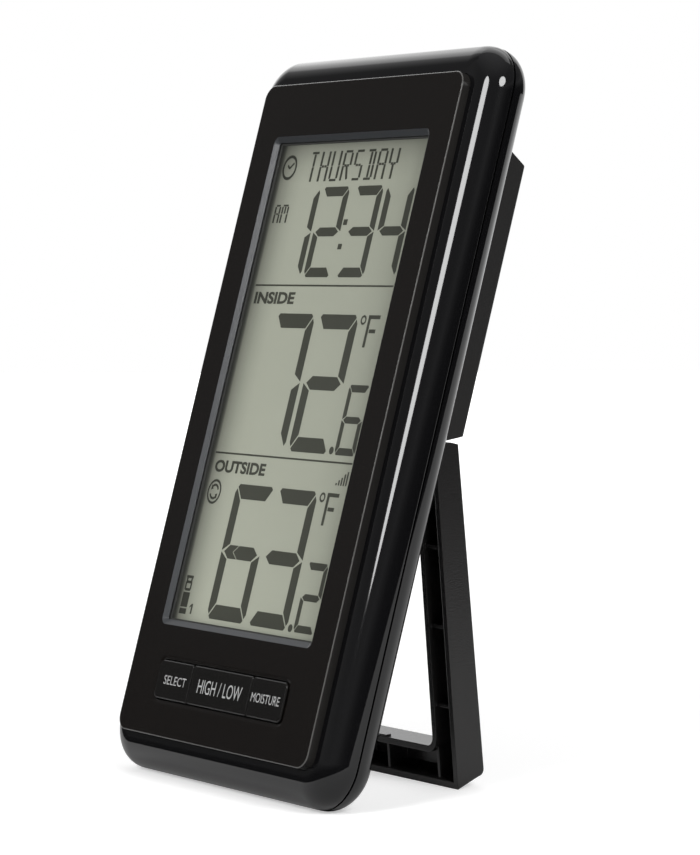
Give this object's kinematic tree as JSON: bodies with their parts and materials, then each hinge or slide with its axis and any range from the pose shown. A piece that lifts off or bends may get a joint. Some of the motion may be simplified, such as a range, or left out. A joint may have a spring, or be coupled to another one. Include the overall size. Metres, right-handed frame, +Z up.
{
  "type": "digital desk thermometer",
  "caption": "Slim black desk thermometer with a tall display, a bar of push buttons and a fold-out rear leg; shows indoor and outdoor temperature.",
  "frame": {"origin": "on the floor, below the middle of the standing thermometer with its leg open", "axes": "+Z up; the face looks towards -Y and leans back; +X to the right as seen from the front"},
  "size_m": [0.0914, 0.0642, 0.1582],
  "materials": {
    "bezel_gloss": "polished black",
    "shell_gloss": "polished black",
    "panel_satin": "fine satin black",
    "button_satin": "satin black with pale legends",
    "lens_clear": "clear acrylic",
    "gasket_foam": "black foam",
    "lcd_glass": "grey-green display with dark segments",
    "reflector_foil": "matt foil",
    "frame_white": "plain moulded",
    "zebra_rubber": "striped silicone",
    "board_green": "solder resist",
    "board_blue": "solder resist",
    "epoxy_black": "potted",
    "metal_can": "drawn can",
    "copper_wire": "enamelled copper",
    "switch_black": "plain moulded",
    "stem_tan": "plain moulded",
    "box_matte": "fine grain",
    "cover_matte": "fine grain",
    "leg_matte": "fine grain",
    "cell_jacket": "plain wrapped jacket",
    "contact_steel": "nickel plated",
    "screw_steel": "zinc plated"
  },
  "bodies": {
    "case": {"front_bezel": "bezel_gloss", "face_panel": "panel_satin", "lens": "lens_clear", "display_gasket": "gasket_foam", "lcd_glass": "lcd_glass", "lcd_reflector": "reflector_foil", "lcd_frame": "frame_white", "zebra_strips": "zebra_rubber", "main_pcb": "board_green", "controller_blob": "epoxy_black", "clock_crystal": "metal_can", "receiver_module": "board_blue", "antenna": "copper_wire", "temperature_sensor": "epoxy_black", "humidity_sensor": "frame_white", "tact_switches": "switch_black", "back_shell": "shell_gloss", "battery_box": "box_matte", "battery_upper": "cell_jacket", "battery_lower": "cell_jacket", "contact_plates": "contact_steel", "contact_springs": "contact_steel", "case_screws": "screw_steel", "pcb_screws": "screw_steel"},
    "stand": {"stand_leg": "leg_matte"},
    "key_left": {"button_left": "button_satin", "stem_left": "stem_tan"},
    "key_middle": {"button_middle": "button_satin", "stem_middle": "stem_tan"},
    "key_right": {"button_right": "button_satin", "stem_right": "stem_tan"},
    "cover": {"battery_cover": "cover_matte"}
  },
  "joints": [
    {"name": "stand_hinge", "type": "hinge", "parent": "case", "child": "stand", "pos_m": [0, 0.00806, 0.07131], "axis": [1, 0, 0], "range_deg": [-21.2, 0]},
    {"name": "button_left_press", "type": "slide", "parent": "case", "child": "key_left", "axis": [0, 0.9542, -0.299], "range_m": [0, 0.0005], "stiffness_N_per_m": 1000, "springref_m": -0.001},
    {"name": "button_middle_press", "type": "slide", "parent": "case", "child": "key_middle", "axis": [0, 0.9542, -0.299], "range_m": [0, 0.0005], "stiffness_N_per_m": 1000, "springref_m": -0.001},
    {"name": "button_right_press", "type": "slide", "parent": "case", "child": "key_right", "axis": [0, 0.9542, -0.299], "range_m": [0, 0.0005], "stiffness_N_per_m": 1000, "springref_m": -0.001},
    {"name": "cover_tilt", "type": "hinge", "parent": "case", "child": "cover", "pos_m": [0, 0.01583, 0.08004], "axis": [-1, 0, 0], "range_deg": [0, 75]}
  ]
}
